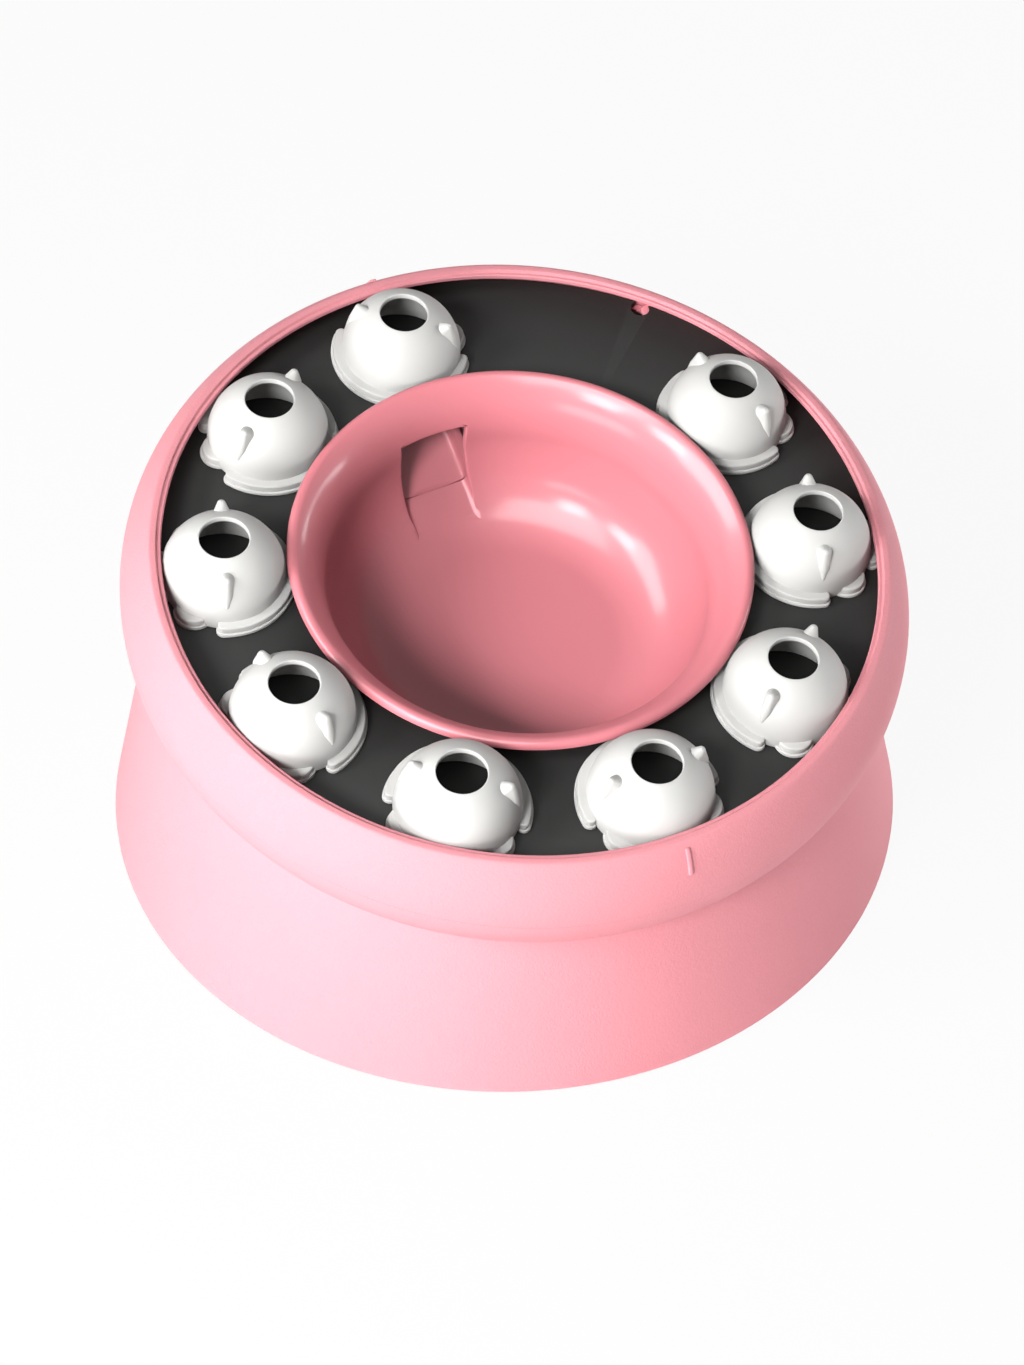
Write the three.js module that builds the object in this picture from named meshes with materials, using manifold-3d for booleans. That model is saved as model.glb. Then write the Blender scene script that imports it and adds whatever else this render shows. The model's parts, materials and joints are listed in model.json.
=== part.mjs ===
// Cat puzzle feeder. Hollow domes filled with kibble slide round a tilted ring channel. A dome that passes
// the drop hole at the back lets its kibble fall onto a chute, which leads it through a window into the food
// bowl. The channel sits in a bulging two-part shell on a tapered stand. Millimetres, +Z up, low side -Y.
import * as THREE from 'three';
import { mergeVertices } from 'three/addons/utils/BufferGeometryUtils.js';
import Module from 'manifold-3d';

const wasm = await Module();
wasm.setup();

// Fits
const FIT_GAP = 0.3; // between pieces that seat on each other
const RUN_CLEARANCE = 0.5; // between a dome and the rims it slides past
const LIFT_CLEARANCE = 1; // round the bowl, which lifts straight out

// Stand: a tapered skirt on rubber pads, with a slanted deck inside
const BASE_RADIUS = 140;
const BASE_TAPER_DEG = 12.7; // lean of the skirt towards its axis
const BASE_WALL = 3;
const FOOT_FLANGE_WIDTH = 22;
const FOOT_FLANGE_THICKNESS = 3;
const DECK_THICKNESS = 2.7;
const DECK_INNER_RADIUS = 72;
const PAD_COUNT = 4;
const PAD_RADIUS = 8;
const PAD_THICKNESS = 2;
const PAD_STAND = 0.8; // how far a pad stands out below the skirt

// Tray: everything above the stand leans towards the front about one point on the stand's axis
const TRAY_TILT_DEG = 10.55;
const PIVOT_HEIGHT = 56.3; // where the tray's axis crosses the stand's axis
const FLOOR_RISE = 62.4; // channel floor above that point, along the tray's axis

// Domes, measured from the channel floor and from each dome's own axis
const SLOT_COUNT = 10; // places round the ring, one of them empty
const DOME_COUNT = 9;
const FIRST_DOME_DEG = 87.9;
const DOME_RADIUS = 20.7;
const DOME_CENTRE = 3.8; // centre of the dome's sphere above the floor
const DOME_WALL = 2.2;
const FILL_HOLE_RADIUS = 8.2;
const FLANGE_WIDTH = 3.3; // how far the foot flange stands out of the dome
const FLANGE_HEIGHT = 4.2;
const STEP_WIDTH = 1.7; // ledge on top of the flange
const STEP_HEIGHT = 1.4;
const FRONT_FLANGE_DEG = 97; // half span of the flange that faces the bowl
const REAR_FLANGE_DEG = 34; // half span of the flange that faces the outer rim
const PAW_DEG = 122; // direction of each paw, from the bowl side
const PAW_RADIUS = 5.9;
const PAW_HEIGHT = 3.6;
const PAW_REACH = 3.6; // how far a paw stands out of the dome
const EAR_RADIUS = 2.2;
const EAR_PROUD = 0.4; // the centre of the ear's head lies this far outside the dome
const EAR_HEAD_DEG = 50; // elevation of the ear's round head
const EAR_TIP_DEG = 31; // elevation of the ear's pointed tip

// Channel floor
const FLOOR_THICKNESS = 2.5;
const DROP_HOLE_RADIUS = 8.2;
const DROP_HOLE_INSET = 1.6; // the hole lies this far inside the circle on which the domes stand
const KEY_DEG = 41; // direction of the notch that keys the floor
const KEY_RADIUS = 2.2;
const NOTCH_RADIUS = 3.4;

// Shell: a round tube swept about the tray's axis, split at its widest line
const SHELL_RING_RADIUS = 100.6;
const SHELL_TUBE_RADIUS = 32;
const SHELL_CENTRE = -10.4; // tube centre, from the channel floor
const SHELL_WALL = 3;
const RIM_HEIGHT = 12.4; // top of the outer rim above the floor
const RIM_WIDTH = 4.08; // from the lip's inner edge to the outside of the tube
const RIM_ROUND = 1.2;
const LIP_THICKNESS = 2.8;
const TONGUE_WALL = 2.4; // ring inside the split, which carries the floor's outer edge
const SHOULDER_THICKNESS = 3.4;
const SHELL_FLAT = 1.9; // the tube is cut flat this far above its lowest line
const WELL_INSET = 5.4; // from the floor's inner edge out to the wall of the well round the bowl
const WELL_WALL = 2.5;
const MARK_WIDTH = 1.2; // raised marks at the front and back of the rim
const MARK_PROUD = 0.6;
const MARK_START_DEG = 24;
const MARK_END_DEG = 43;

// Bowl: a cup with a flat bottom and a round corner, upright at its waist and flared above it
const FLARE_WIDTH = 13.3; // from the waist out to the edge of the rim
const WAIST_DEPTH = 10; // the waist lies this far below the channel floor
const BOWL_CORNER_RADIUS = 29;
const BOWL_WALL = 2.4;
const CREST_HEIGHT = 10.4;
const CREST_INSET = 2.8; // crest of the flare, inside the rim's edge
const RIM_EDGE_TOP = 9.2;
const RIM_EDGE_BOTTOM = 7.9;

// Chute and the window that it feeds
const CHUTE_WIDTH = 24.8;
const CHUTE_WALL = 2.2;
const CHUTE_SIDE = 9.3; // height of the side walls where the chute meets the bowl's lip
const RAMP_DEG = 29;
const RAMP_SEAM_HEIGHT = -28.4; // height of the ramp where the chute meets the bowl's lip
const SEAM_INSET = 4; // that seam lies this far inside the bowl's waist
const WINDOW_TOP = -1.5;

// Screws that hold the lower shell to the stand's deck
const SCREW_COUNT = 4;
const SCREW_INSET = 5.6; // the screws stand this far inside the tube's circle
const SCREW_RADIUS = 1.5;
const SCREW_LENGTH = 14;
const SCREW_HEAD_RADIUS = 3.4;
const SCREW_HEAD_HEIGHT = 2.4;
const BOSS_WALL = 2.6;
const BOSS_HEIGHT = 12;

// Facets
const RING_SEGMENTS = 48;
const DOME_SEGMENTS = 16;
const PIN_SEGMENTS = 12;
const EAR_SEGMENTS = 6;
const RING_STEP_DEG = 14;
const DOME_STEP_DEG = 22.5;
const EAR_STEP_DEG = 45;

// Sizes that follow from those above
const radians = THREE.MathUtils.degToRad;
const across = (radius, rise) => Math.sqrt(radius ** 2 - rise ** 2);
const tilt = radians(TRAY_TILT_DEG);
const ramp = radians(RAMP_DEG);
const slotDeg = 360 / SLOT_COUNT;
const domeFoot = FIT_GAP;
const flangeRadius = DOME_RADIUS + FLANGE_WIDTH;
const domeCavityRadius = DOME_RADIUS - DOME_WALL;
const domeHalfWidth = (height) => across(DOME_RADIUS, height - DOME_CENTRE);
const tubeEdge = (radius, height) => SHELL_RING_RADIUS + across(radius, height - SHELL_CENTRE);
const shellCavityRadius = SHELL_TUBE_RADIUS - SHELL_WALL;
const shellOutside = (height) => tubeEdge(SHELL_TUBE_RADIUS, height);
const shellInside = (height) => tubeEdge(shellCavityRadius, height);
const shellUnderside = SHELL_CENTRE - SHELL_TUBE_RADIUS + SHELL_FLAT;
const lipUnderside = RIM_HEIGHT - LIP_THICKNESS;
const lipRadius = shellOutside(RIM_HEIGHT) - RIM_WIDTH;
const ringRadius = lipRadius - RUN_CLEARANCE - domeHalfWidth(lipUnderside);
const bowlRimRadius = ringRadius - domeHalfWidth(RIM_EDGE_BOTTOM) - RUN_CLEARANCE;
const waistRadius = bowlRimRadius - FLARE_WIDTH;
const flareRun = FLARE_WIDTH - CREST_INSET;
const flareRise = CREST_HEIGHT + WAIST_DEPTH;
const flareRadius = (flareRun ** 2 + flareRise ** 2) / (2 * flareRun);
const seamRadius = waistRadius - SEAM_INSET;
const screwRingRadius = SHELL_RING_RADIUS - SCREW_INSET;
const floorUnderside = -FLOOR_THICKNESS;
const seatHeight = floorUnderside - FIT_GAP;
const floorRadius = shellInside(0) - FIT_GAP;
const keyCentre = floorRadius - KEY_RADIUS - FIT_GAP;
const tongueRadius = shellInside(seatHeight) - FIT_GAP;
const tongueInnerRadius = tongueRadius - TONGUE_WALL;
const bowlSeatRadius = waistRadius + flareRadius - across(flareRadius - BOWL_WALL, WAIST_DEPTH);
const floorHoleRadius = bowlSeatRadius + FIT_GAP;
const wellRadius = floorHoleRadius + WELL_INSET;
const deckTop = shellUnderside - FIT_GAP;
const deckUnderside = deckTop - DECK_THICKNESS;
const chuteHalfWidth = CHUTE_WIDTH / 2;
const chuteOuterHalf = chuteHalfWidth + CHUTE_WALL;
const rampHeight = (distance) => RAMP_SEAM_HEIGHT + (distance - seamRadius) * Math.tan(ramp);
const rampThickness = CHUTE_WALL / Math.cos(ramp);
const dropHoleDistance = ringRadius - DROP_HOLE_INSET;
const chuteEnd = dropHoleDistance + DROP_HOLE_RADIUS + FIT_GAP;
const baseSlope = Math.tan(radians(BASE_TAPER_DEG));
const baseRadiusAt = (height) => BASE_RADIUS - (height - PAD_STAND) * baseSlope;
const padCentreRadius = BASE_RADIUS - BASE_WALL - FOOT_FLANGE_WIDTH / 2;
const padStartDeg = 180 / PAD_COUNT;
const screwStartDeg = 180 / SCREW_COUNT;
const past = LIFT_CLEARANCE; // how far a cutting solid runs past the face it cuts

// Turns a three.js geometry into a closed solid with shared corners
function solid(geometry) {
  const bare = geometry.clone();
  bare.deleteAttribute('normal');
  bare.deleteAttribute('uv');
  const merged = mergeVertices(bare);
  const corners = merged.index.array;
  const kept = [];
  for (let i = 0; i < corners.length; i += 3) {
    const [a, b, c] = corners.slice(i, i + 3);
    if (a !== b && b !== c && c !== a) {
      kept.push(a, b, c);
    }
  }
  const vertProperties = new Float32Array(merged.attributes.position.array);
  const triVerts = new Uint32Array(kept);
  return new wasm.Manifold(new wasm.Mesh({ numProp: 3, vertProperties, triVerts }));
}

function geometryOf(body) {
  const { vertProperties, triVerts } = body.getMesh();
  const geometry = new THREE.BufferGeometry();
  geometry.setAttribute('position', new THREE.BufferAttribute(vertProperties, 3));
  geometry.setIndex(new THREE.BufferAttribute(triVerts, 1));
  geometry.computeVertexNormals();
  return geometry;
}

// Points on an arc about (centreRadius, centreHeight), from one angle to another, ends included
function arc(centreRadius, centreHeight, radius, fromDeg, toDeg, stepDeg = RING_STEP_DEG) {
  const steps = Math.max(1, Math.round(Math.abs(toDeg - fromDeg) / stepDeg));
  return Array.from({ length: steps + 1 }, (_, i) => {
    const angle = radians(fromDeg + ((toDeg - fromDeg) * i) / steps);
    return [centreRadius + radius * Math.cos(angle), centreHeight + radius * Math.sin(angle)];
  });
}

// Elevation at which an arc of the given radius is the given height above its centre
const elevation = (rise, radius) => THREE.MathUtils.radToDeg(Math.asin(rise / radius));

// Solid of revolution about Z, from [radius, height] points with the material on their left
function turned(points, segments = RING_SEGMENTS) {
  const outline = points.map(([radius, height]) => new THREE.Vector2(radius, height));
  const closed = outline[0].x > 0 || outline.at(-1).x > 0;
  if (closed) {
    outline.push(outline[0].clone());
  }
  return new THREE.LatheGeometry(outline, segments).rotateX(Math.PI / 2);
}

function disc(radius, bottom, top, segments = PIN_SEGMENTS) {
  return turned([[0, bottom], [radius, bottom], [radius, top], [0, top]], segments);
}

// A prism along X, centred, from [distance, height] points in the YZ plane
function prismAcross(points, width) {
  const shape = new THREE.Shape(points.map(([distance, height]) => new THREE.Vector2(distance, height)));
  const prism = new THREE.ExtrudeGeometry(shape, { depth: width, bevelEnabled: false });
  return prism.translate(0, 0, -width / 2).rotateY(Math.PI / 2).rotateX(Math.PI / 2);
}

// A flat ring sector between two radii, centred on +X
function sector(inner, outer, halfDeg, bottom, top) {
  const half = radians(halfDeg);
  const shape = new THREE.Shape();
  shape.absarc(0, 0, outer, -half, half, false);
  shape.absarc(0, 0, inner, half, -half, true);
  const curveSegments = Math.max(2, Math.round((2 * halfDeg) / DOME_STEP_DEG));
  const depth = top - bottom;
  const plate = new THREE.ExtrudeGeometry(shape, { depth, bevelEnabled: false, curveSegments });
  return plate.translate(0, 0, bottom);
}

// Copies of one geometry round the Z axis
function ringOf(count, startDeg, radius, make) {
  return Array.from({ length: count }, (_, i) => {
    const angle = radians(startDeg + (360 * i) / count);
    return make(i).translate(radius, 0, 0).rotateZ(angle);
  });
}

const plastic = (color, roughness) => new THREE.MeshStandardMaterial({ color, roughness, metalness: 0 });
const pinkMatte = plastic(0xf4a0ae, 0.6);
const pinkGloss = plastic(0xf0909e, 0.25);
const blackMatte = plastic(0x383838, 0.65);
const whiteSatin = plastic(0xf0efec, 0.45);
const rubberGrey = plastic(0x4a4a4c, 0.9);
const screwSteel = new THREE.MeshStandardMaterial({ color: 0x9a9da2, roughness: 0.35, metalness: 1 });

function piece(name, geometry, material) {
  const mesh = new THREE.Mesh(geometry, material);
  mesh.name = name;
  return mesh;
}

const feeder = new THREE.Group();
const tray = new THREE.Group();
tray.position.set(0, -FLOOR_RISE * Math.sin(tilt), PIVOT_HEIGHT + FLOOR_RISE * Math.cos(tilt));
tray.rotation.x = tilt;
tray.updateMatrix();
feeder.add(tray);

// The lower shell's outside, filled in, which the stand's top edge is cut to
function seatSolid() {
  const grown = SHELL_TUBE_RADIUS + FIT_GAP;
  const low = elevation(deckTop - SHELL_CENTRE, grown);
  const side = arc(SHELL_RING_RADIUS, SHELL_CENTRE, grown, low, 0);
  const above = BASE_RADIUS;
  const widest = SHELL_RING_RADIUS + grown;
  return turned([[0, deckTop], ...side, [widest, above], [0, above]]);
}

function baseSkirt() {
  const top = tray.position.z + (SHELL_RING_RADIUS + SHELL_TUBE_RADIUS) * Math.sin(tilt);
  const wall = turned([
    [baseRadiusAt(PAD_STAND) - BASE_WALL - FOOT_FLANGE_WIDTH, PAD_STAND],
    [baseRadiusAt(PAD_STAND), PAD_STAND],
    [baseRadiusAt(top), top],
    [baseRadiusAt(top) - BASE_WALL, top],
    [baseRadiusAt(PAD_STAND + FOOT_FLANGE_THICKNESS) - BASE_WALL, PAD_STAND + FOOT_FLANGE_THICKNESS],
    [baseRadiusAt(PAD_STAND) - BASE_WALL - FOOT_FLANGE_WIDTH, PAD_STAND + FOOT_FLANGE_THICKNESS],
  ]);
  const inside = turned([
    [0, PAD_STAND],
    [baseRadiusAt(PAD_STAND) - BASE_WALL / 2, PAD_STAND],
    [baseRadiusAt(top) - BASE_WALL / 2, top],
    [0, top],
  ]);
  const plate = turned([
    [DECK_INNER_RADIUS, deckUnderside],
    [BASE_RADIUS, deckUnderside],
    [BASE_RADIUS, deckTop],
    [DECK_INNER_RADIUS, deckTop],
  ]).applyMatrix4(tray.matrix);
  let body = solid(wall).add(solid(plate).intersect(solid(inside)));
  body = body.subtract(solid(seatSolid().applyMatrix4(tray.matrix)));
  const recess = () => disc(PAD_RADIUS + FIT_GAP, -past, PAD_THICKNESS + FIT_GAP);
  const screwHole = () => disc(SCREW_RADIUS + FIT_GAP, deckUnderside - past, deckTop + past);
  for (const cut of ringOf(PAD_COUNT, padStartDeg, padCentreRadius, recess)) {
    body = body.subtract(solid(cut));
  }
  for (const cut of ringOf(SCREW_COUNT, screwStartDeg, screwRingRadius, screwHole)) {
    body = body.subtract(solid(cut.applyMatrix4(tray.matrix)));
  }
  return geometryOf(body);
}

// Lower shell: half of the tube, a bottom, the well round the bowl and the tongue that carries the floor
function lowerShell() {
  const split = SHELL_CENTRE - FIT_GAP / 2;
  const shoulder = split - SHOULDER_THICKNESS;
  const bottomInside = shellUnderside + SHELL_WALL;
  const rise = (height, radius) => elevation(height - SHELL_CENTRE, radius);
  const outside = arc(
    SHELL_RING_RADIUS, SHELL_CENTRE, SHELL_TUBE_RADIUS,
    rise(shellUnderside, SHELL_TUBE_RADIUS), rise(split, SHELL_TUBE_RADIUS),
  );
  const inside = arc(
    SHELL_RING_RADIUS, SHELL_CENTRE, shellCavityRadius,
    rise(shoulder, shellCavityRadius), rise(bottomInside, shellCavityRadius),
  );
  let body = solid(turned([
    [wellRadius, shellUnderside],
    ...outside,
    [tongueRadius, split],
    [tongueRadius, seatHeight],
    [tongueInnerRadius, seatHeight],
    [tongueInnerRadius, shoulder],
    ...inside,
    [wellRadius + WELL_WALL, bottomInside],
    [wellRadius + WELL_WALL, seatHeight],
    [wellRadius, seatHeight],
  ]));
  const bossRadius = SCREW_RADIUS + FIT_GAP + BOSS_WALL;
  const bossTop = bottomInside + BOSS_HEIGHT;
  const boss = () => disc(bossRadius, shellUnderside + SHELL_WALL / 2, bossTop);
  const pilot = () => disc(SCREW_RADIUS + FIT_GAP, shellUnderside - past, bossTop + past);
  for (const post of ringOf(SCREW_COUNT, screwStartDeg, screwRingRadius, boss)) {
    body = body.add(solid(post));
  }
  for (const hole of ringOf(SCREW_COUNT, screwStartDeg, screwRingRadius, pilot)) {
    body = body.subtract(solid(hole));
  }
  const key = disc(KEY_RADIUS, split - SHOULDER_THICKNESS / 2, -FIT_GAP);
  body = body.add(solid(key.translate(keyCentre, 0, 0).rotateZ(radians(KEY_DEG))));
  const chuteSpace = chuteOuterHalf + FIT_GAP;
  const near = across(wellRadius, chuteSpace) - past;
  const far = wellRadius + WELL_WALL + past;
  const sill = (distance) => rampHeight(distance) - rampThickness - FIT_GAP;
  const notch = prismAcross([
    [near, sill(near)],
    [far, sill(far)],
    [far, seatHeight + past],
    [near, seatHeight + past],
  ], 2 * chuteSpace);
  return geometryOf(body.subtract(solid(notch)));
}

// Upper shell: the other half of the tube, ending in the lip that keeps the domes in, with two raised marks
function upperShell() {
  const split = SHELL_CENTRE + FIT_GAP / 2;
  const rise = (height, radius) => elevation(height - SHELL_CENTRE, radius);
  const crown = RIM_HEIGHT - RIM_ROUND;
  const outside = arc(
    SHELL_RING_RADIUS, SHELL_CENTRE, SHELL_TUBE_RADIUS,
    rise(split, SHELL_TUBE_RADIUS), rise(crown, SHELL_TUBE_RADIUS),
  );
  const inside = arc(
    SHELL_RING_RADIUS, SHELL_CENTRE, shellCavityRadius,
    rise(lipUnderside, shellCavityRadius), rise(split, shellCavityRadius),
  );
  let body = solid(turned([
    ...outside,
    [shellOutside(RIM_HEIGHT) - RIM_ROUND, RIM_HEIGHT],
    [lipRadius + RIM_ROUND / 2, RIM_HEIGHT],
    [lipRadius, RIM_HEIGHT - RIM_ROUND / 2],
    [lipRadius, lipUnderside],
    ...inside,
  ]));
  const along = (radius) => arc(SHELL_RING_RADIUS, SHELL_CENTRE, radius, MARK_START_DEG, MARK_END_DEG);
  const rooted = along(SHELL_TUBE_RADIUS - SHELL_WALL / 2);
  const proud = along(SHELL_TUBE_RADIUS + MARK_PROUD);
  const mark = prismAcross([...rooted, ...proud.reverse()], MARK_WIDTH);
  body = body.add(solid(mark)).add(solid(mark.clone().rotateZ(Math.PI)));
  return geometryOf(body);
}

// Channel floor: a flat ring whose inner edge carries the bowl, with a drop hole at the back and a keyed notch
function channelFloor() {
  let body = solid(turned([
    [floorHoleRadius, floorUnderside],
    [floorRadius, floorUnderside],
    [floorRadius, 0],
    [floorHoleRadius, 0],
  ]));
  const dropHole = disc(DROP_HOLE_RADIUS, floorUnderside - past, past, DOME_SEGMENTS);
  body = body.subtract(solid(dropHole.translate(0, dropHoleDistance, 0)));
  const notch = disc(NOTCH_RADIUS, floorUnderside - past, past);
  body = body.subtract(solid(notch.translate(keyCentre, 0, 0).rotateZ(radians(KEY_DEG))));
  return geometryOf(body);
}

// The bowl's section from its flat bottom round the corner and up the flare, a given distance outside the cup
function bowlProfile(outside, toHeight) {
  const cornerRadius = BOWL_CORNER_RADIUS + outside;
  const corner = arc(waistRadius - BOWL_CORNER_RADIUS, -WAIST_DEPTH, cornerRadius, -90, 0);
  const turn = flareRadius - outside;
  const end = 180 - elevation(toHeight + WAIST_DEPTH, turn);
  const flare = arc(waistRadius + flareRadius, -WAIST_DEPTH, turn, 180, end);
  return [...corner, ...flare.slice(1)];
}

function foodBowl() {
  const inner = bowlProfile(0, CREST_HEIGHT);
  const outer = bowlProfile(BOWL_WALL, RIM_EDGE_BOTTOM);
  const wall = turned([
    [0, outer[0][1]],
    ...outer,
    [bowlRimRadius - FIT_GAP, RIM_EDGE_BOTTOM],
    [bowlRimRadius, (RIM_EDGE_BOTTOM + RIM_EDGE_TOP) / 2],
    [bowlRimRadius - FIT_GAP, RIM_EDGE_TOP],
    ...inner.slice().reverse(),
    [0, inner[0][1]],
  ]);
  const cup = turned([[0, inner[0][1]], ...inner, [0, CREST_HEIGHT]]);
  const reach = waistRadius - BOWL_CORNER_RADIUS * (1 - Math.sin(ramp)); // where the ramp runs along the cup
  const lip = prismAcross([
    [reach, rampHeight(reach) - rampThickness],
    [seamRadius, rampHeight(seamRadius) - rampThickness],
    [seamRadius, rampHeight(seamRadius) + BOWL_WALL],
    [reach, rampHeight(seamRadius) + BOWL_WALL],
  ], 2 * chuteOuterHalf);
  const beyond = floorHoleRadius + past;
  const opening = prismAcross([
    [reach, rampHeight(reach)],
    [beyond, rampHeight(beyond)],
    [beyond, WINDOW_TOP],
    [reach, WINDOW_TOP],
  ], CHUTE_WIDTH);
  return geometryOf(solid(wall).add(solid(lip).subtract(solid(cup))).subtract(solid(opening)));
}

// Chute: a straight trough from under the drop hole to the bowl's lip, cut clear of the bowl
function foodChute() {
  const start = seamRadius + FIT_GAP;
  const end = chuteEnd + CHUTE_WALL;
  const block = prismAcross([
    [start, rampHeight(start) - rampThickness],
    [end, rampHeight(end) - rampThickness],
    [end, seatHeight],
    [start, rampHeight(start) + CHUTE_SIDE],
  ], 2 * chuteOuterHalf);
  const channel = prismAcross([
    [start - past, rampHeight(start - past)],
    [chuteEnd, rampHeight(chuteEnd)],
    [chuteEnd, seatHeight + past],
    [start - past, seatHeight + past],
  ], CHUTE_WIDTH);
  const clear = bowlProfile(BOWL_WALL + LIFT_CLEARANCE, 0);
  const bowlSpace = turned([[0, clear[0][1]], ...clear, [0, 0]]);
  return geometryOf(solid(block).subtract(solid(channel)).subtract(solid(bowlSpace)));
}

const sideways = new THREE.Vector3(1, 0, 0);
const upwards = new THREE.Vector3(0, 0, 1);

// A dome stands at the origin with the bowl towards -X
function kibbleDome() {
  const top = DOME_CENTRE + DOME_RADIUS;
  const skirt = elevation(domeFoot - DOME_CENTRE, DOME_RADIUS);
  const outline = arc(0, DOME_CENTRE, DOME_RADIUS, skirt, 90, DOME_STEP_DEG);
  let body = solid(turned([[0, domeFoot], ...outline], DOME_SEGMENTS));
  const rooted = DOME_RADIUS - DOME_WALL / 2;
  const stepTop = FLANGE_HEIGHT + STEP_HEIGHT;
  const front = sector(rooted, flangeRadius, FRONT_FLANGE_DEG, domeFoot, FLANGE_HEIGHT);
  const stepRadius = DOME_RADIUS + STEP_WIDTH;
  const step = sector(rooted, stepRadius, FRONT_FLANGE_DEG, FLANGE_HEIGHT - FIT_GAP, stepTop);
  const rear = sector(rooted, flangeRadius, REAR_FLANGE_DEG, domeFoot, FLANGE_HEIGHT);
  body = body.add(solid(front.rotateZ(Math.PI)));
  body = body.add(solid(step.rotateZ(Math.PI)));
  body = body.add(solid(rear));
  const onSide = (radius, deg) => new THREE.Vector3(0, radius, 0).applyAxisAngle(sideways, radians(deg));
  const headAt = onSide(DOME_RADIUS + EAR_PROUD, EAR_HEAD_DEG);
  const tipAt = onSide(DOME_RADIUS - EAR_PROUD, EAR_TIP_DEG);
  const earAxis = headAt.clone().sub(tipAt);
  const earLength = earAxis.length();
  const earTurn = new THREE.Quaternion().setFromUnitVectors(upwards, earAxis.normalize());
  for (const side of [1, -1]) {
    const pawAngle = Math.PI + side * radians(PAW_DEG);
    const paw = disc(PAW_RADIUS, domeFoot, PAW_HEIGHT);
    paw.translate(DOME_RADIUS + PAW_REACH - PAW_RADIUS, 0, 0).rotateZ(pawAngle);
    const earHead = arc(0, 0, EAR_RADIUS, 0, 90, EAR_STEP_DEG);
    const ear = turned([[0, -earLength], ...earHead], EAR_SEGMENTS);
    ear.applyQuaternion(earTurn).translate(headAt.x, headAt.y, headAt.z + DOME_CENTRE);
    if (side < 0) {
      ear.rotateZ(Math.PI);
    }
    body = body.add(solid(paw)).add(solid(ear));
  }
  const cavityFoot = elevation(domeFoot - DOME_CENTRE, domeCavityRadius);
  const holeTop = elevation(across(domeCavityRadius, FILL_HOLE_RADIUS), domeCavityRadius);
  const cavity = turned([
    [0, domeFoot - past],
    [across(domeCavityRadius, domeFoot - DOME_CENTRE), domeFoot - past],
    ...arc(0, DOME_CENTRE, domeCavityRadius, cavityFoot, holeTop, DOME_STEP_DEG),
    [FILL_HOLE_RADIUS, top + past],
    [0, top + past],
  ], DOME_SEGMENTS);
  return geometryOf(body.subtract(solid(cavity)));
}

function screw() {
  const headTop = deckUnderside - FIT_GAP;
  return turned([
    [0, headTop - SCREW_HEAD_HEIGHT],
    [SCREW_HEAD_RADIUS, headTop - SCREW_HEAD_HEIGHT],
    [SCREW_HEAD_RADIUS, headTop],
    [SCREW_RADIUS, headTop],
    [SCREW_RADIUS, headTop + SCREW_LENGTH],
    [0, headTop + SCREW_LENGTH],
  ], PIN_SEGMENTS);
}

feeder.add(piece('base_skirt', baseSkirt(), pinkMatte));
const footPad = () => disc(PAD_RADIUS, 0, PAD_THICKNESS);
ringOf(PAD_COUNT, padStartDeg, padCentreRadius, footPad).forEach((pad, i) => {
  feeder.add(piece(`foot_pad_${i + 1}`, geometryOf(solid(pad)), rubberGrey));
});
tray.add(piece('lower_shell', lowerShell(), pinkMatte));
tray.add(piece('upper_shell', upperShell(), pinkMatte));
tray.add(piece('channel_floor', channelFloor(), blackMatte));
tray.add(piece('food_chute', foodChute(), pinkGloss));
tray.add(piece('food_bowl', foodBowl(), pinkGloss));
ringOf(SCREW_COUNT, screwStartDeg, screwRingRadius, screw).forEach((body, i) => {
  tray.add(piece(`deck_screw_${i + 1}`, geometryOf(solid(body)), screwSteel));
});

// The domes stand a slot apart. Each one has its bowl side towards the tray's axis.
const dome = kibbleDome();
for (let i = 0; i < DOME_COUNT; i += 1) {
  const place = new THREE.Group();
  place.rotation.z = radians(FIRST_DOME_DEG + slotDeg * i);
  const mesh = piece(`dome_${i + 1}`, dome, whiteSatin);
  mesh.position.x = ringRadius;
  place.add(mesh);
  tray.add(place);
}

export default feeder;
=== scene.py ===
import json
import math

import bpy
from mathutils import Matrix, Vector


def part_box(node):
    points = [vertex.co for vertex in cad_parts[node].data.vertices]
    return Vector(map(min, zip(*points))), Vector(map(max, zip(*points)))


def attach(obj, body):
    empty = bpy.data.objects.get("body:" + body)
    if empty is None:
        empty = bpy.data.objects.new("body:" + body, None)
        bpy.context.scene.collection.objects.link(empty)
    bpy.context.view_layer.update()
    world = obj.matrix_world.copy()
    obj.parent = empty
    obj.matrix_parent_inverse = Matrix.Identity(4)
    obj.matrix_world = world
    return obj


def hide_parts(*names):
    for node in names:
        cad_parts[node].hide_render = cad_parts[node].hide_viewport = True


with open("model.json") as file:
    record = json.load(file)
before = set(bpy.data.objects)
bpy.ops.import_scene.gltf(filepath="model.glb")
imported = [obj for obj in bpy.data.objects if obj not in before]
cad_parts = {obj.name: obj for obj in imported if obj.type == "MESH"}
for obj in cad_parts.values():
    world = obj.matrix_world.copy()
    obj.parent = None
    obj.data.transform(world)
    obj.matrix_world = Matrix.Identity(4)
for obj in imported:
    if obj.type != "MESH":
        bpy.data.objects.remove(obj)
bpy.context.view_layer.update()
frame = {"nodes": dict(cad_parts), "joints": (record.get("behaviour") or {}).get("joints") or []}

# Stand
# A tapered skirt, injection-moulded in pink plastic with a fine matte grain. A slanted deck closes it inside,
# its top edge is trimmed to the bulge of the shell, and a flange under it holds the foot pads.
MM = 0.001
RING_STEPS = 192
SMOOTH_ANGLE = 32
STAND_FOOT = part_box("base_skirt")[0].z / MM
STAND_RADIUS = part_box("base_skirt")[1].x / MM
TRIM_ALLOWANCE = 20
STAND_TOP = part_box("base_skirt")[1].z / MM + TRIM_ALLOWANCE
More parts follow.
